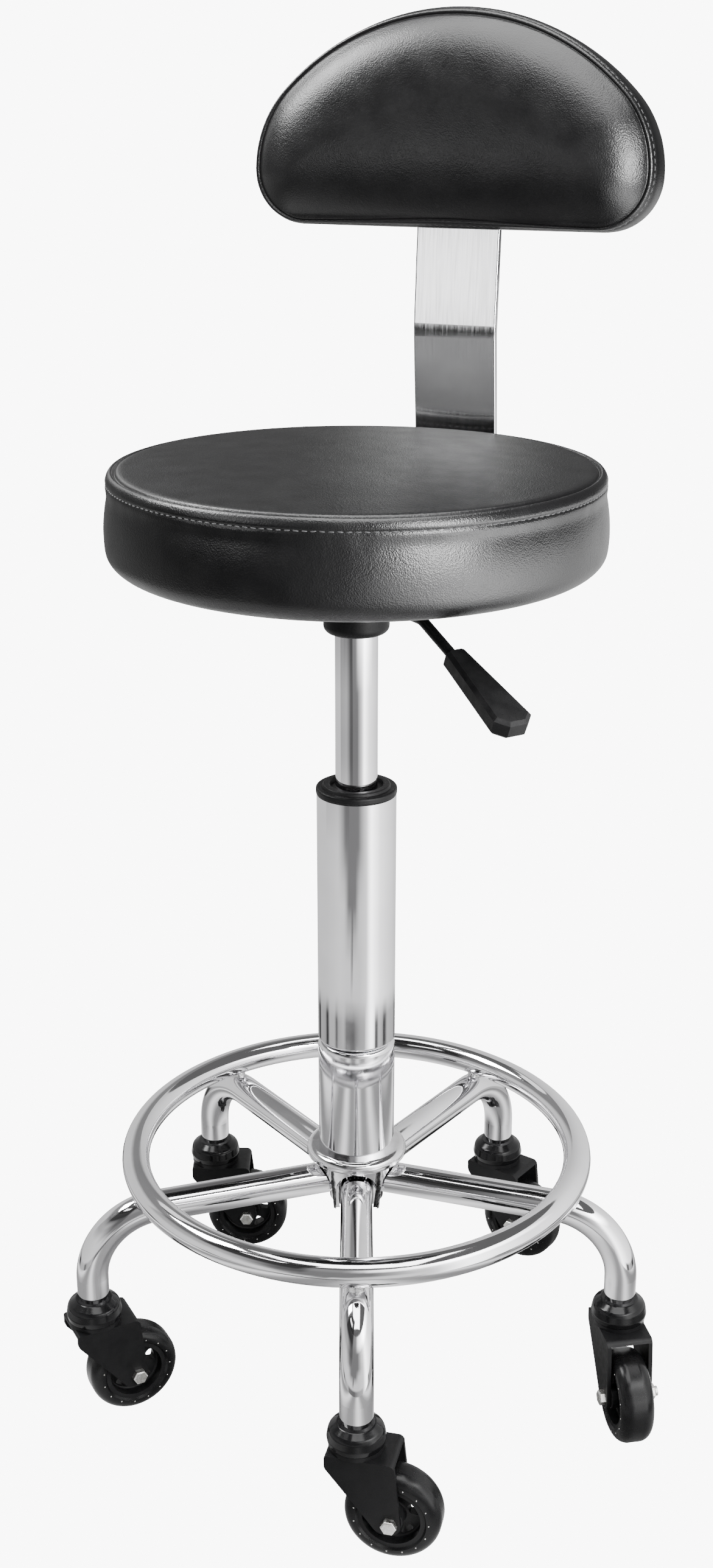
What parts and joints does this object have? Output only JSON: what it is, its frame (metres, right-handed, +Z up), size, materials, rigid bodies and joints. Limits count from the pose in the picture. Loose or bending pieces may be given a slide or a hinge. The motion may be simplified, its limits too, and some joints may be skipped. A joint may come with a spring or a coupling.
{
  "type": "rolling stylist stool",
  "caption": "Height-adjustable rolling salon stool: round padded seat, small backrest on a flat bar, gas lift, chrome star base with foot ring and swivel casters",
  "frame": {"origin": "on the column axis at floor level", "axes": "+Z up along the column, the sitter faces -Y, the backrest stands at +Y, +X to the sitter's left"},
  "size_m": [0.4174, 0.4023, 0.9353],
  "materials": {
    "chrome": "polished",
    "zinc": "satin",
    "black_steel": "satin",
    "black_plastic": "satin",
    "black_vinyl": "satin",
    "plywood": "matte",
    "tyre": "satin",
    "bar_steel": "satin"
  },
  "bodies": {
    "base": {"hub": "chrome", "leg_1": "chrome", "leg_2": "chrome", "leg_3": "chrome", "leg_4": "chrome", "leg_5": "chrome", "foot_ring": "chrome", "ring_welds": "chrome", "column_tube": "black_steel", "column_sleeve_lower": "chrome", "column_sleeve_upper": "chrome", "collar_bush": "black_plastic", "thrust_bearing": "zinc", "caster_1_stem": "zinc", "caster_2_stem": "zinc", "caster_3_stem": "zinc", "caster_4_stem": "zinc", "caster_5_stem": "zinc", "caster_1_cap": "black_plastic", "caster_2_cap": "black_plastic", "caster_3_cap": "black_plastic", "caster_4_cap": "black_plastic", "caster_5_cap": "black_plastic"},
    "spindle": {"piston_rod": "zinc", "piston": "black_plastic"},
    "seat": {"gas_cylinder": "chrome", "taper_socket": "black_steel", "lever_pivot": "zinc", "seat_plate": "black_steel", "seat_board": "plywood", "seat_cushion": "black_vinyl", "seat_screws": "zinc", "backrest_bar": "bar_steel", "bar_bolts": "zinc", "backrest_board": "plywood", "backrest_cushion": "black_vinyl", "backrest_screws": "zinc"},
    "lever": {"lever_rod": "black_steel", "lever_knob": "black_plastic"},
    "release": {"release_pin": "zinc"},
    "caster_1": {"caster_1_fork": "black_steel", "caster_1_axle": "zinc"},
    "wheel_1": {"caster_1_tyre": "tyre", "caster_1_rim": "black_plastic"},
    "caster_2": {"caster_2_fork": "black_steel", "caster_2_axle": "zinc"},
    "wheel_2": {"caster_2_tyre": "tyre", "caster_2_rim": "black_plastic"},
    "caster_3": {"caster_3_fork": "black_steel", "caster_3_axle": "zinc"},
    "wheel_3": {"caster_3_tyre": "tyre", "caster_3_rim": "black_plastic"},
    "caster_4": {"caster_4_fork": "black_steel", "caster_4_axle": "zinc"},
    "wheel_4": {"caster_4_tyre": "tyre", "caster_4_rim": "black_plastic"},
    "caster_5": {"caster_5_fork": "black_steel", "caster_5_axle": "zinc"},
    "wheel_5": {"caster_5_tyre": "tyre", "caster_5_rim": "black_plastic"}
  },
  "joints": [
    {"name": "seat_swivel", "type": "hinge", "parent": "base", "child": "spindle", "pos_m": [0, 0, 0.2], "axis": [0, 0, 1], "continuous": true},
    {"name": "seat_height", "type": "slide", "parent": "spindle", "child": "seat", "axis": [0, 0, 1], "range_m": [-0.1, 0.02]},
    {"name": "lever_lift", "type": "hinge", "parent": "seat", "child": "lever", "pos_m": [0.01481, -0.01076, 0.582], "axis": [-0.5878, -0.809, 0], "range_deg": [0, 5]},
    {"name": "pin_press", "type": "slide", "parent": "seat", "child": "release", "axis": [0, 0, 1], "range_m": [-0.0017, 0]},
    {"name": "caster_1_swivel", "type": "hinge", "parent": "base", "child": "caster_1", "pos_m": [0.07656, -0.17608, 0.075], "axis": [0, 0, 1], "continuous": true},
    {"name": "caster_1_roll", "type": "hinge", "parent": "caster_1", "child": "wheel_1", "pos_m": [0.10118, -0.17173, 0.03175], "axis": [-0.1736, 0.9848, 0], "continuous": true},
    {"name": "caster_2_swivel", "type": "hinge", "parent": "base", "child": "caster_2", "pos_m": [0.19112, 0.0184, 0.075], "axis": [0, 0, 1], "continuous": true},
    {"name": "caster_2_roll", "type": "hinge", "parent": "caster_2", "child": "wheel_2", "pos_m": [0.2051, -0.00232, 0.03175], "axis": [0.829, 0.5592, 0], "continuous": true},
    {"name": "caster_3_swivel", "type": "hinge", "parent": "base", "child": "caster_3", "pos_m": [0.04156, 0.18745, 0.075], "axis": [0, 0, 1], "continuous": true},
    {"name": "caster_3_roll", "type": "hinge", "parent": "caster_3", "child": "wheel_3", "pos_m": [0.06592, 0.18182, 0.03175], "axis": [0.225, 0.9744, 0], "continuous": true},
    {"name": "caster_4_swivel", "type": "hinge", "parent": "base", "child": "caster_4", "pos_m": [-0.16543, 0.09745, 0.075], "axis": [0, 0, 1], "continuous": true},
    {"name": "caster_4_roll", "type": "hinge", "parent": "caster_4", "child": "wheel_4", "pos_m": [-0.14242, 0.10722, 0.03175], "axis": [-0.3907, 0.9205, 0], "continuous": true},
    {"name": "caster_5_swivel", "type": "hinge", "parent": "base", "child": "caster_5", "pos_m": [-0.1438, -0.12722, 0.075], "axis": [0, 0, 1], "continuous": true},
    {"name": "caster_5_roll", "type": "hinge", "parent": "caster_5", "child": "wheel_5", "pos_m": [-0.12773, -0.10807, 0.03175], "axis": [-0.766, 0.6428, 0], "continuous": true}
  ],
  "couplings": [
    {"joint": "pin_press", "follows": "lever_lift", "m_per_rad": -0.0183}
  ]
}
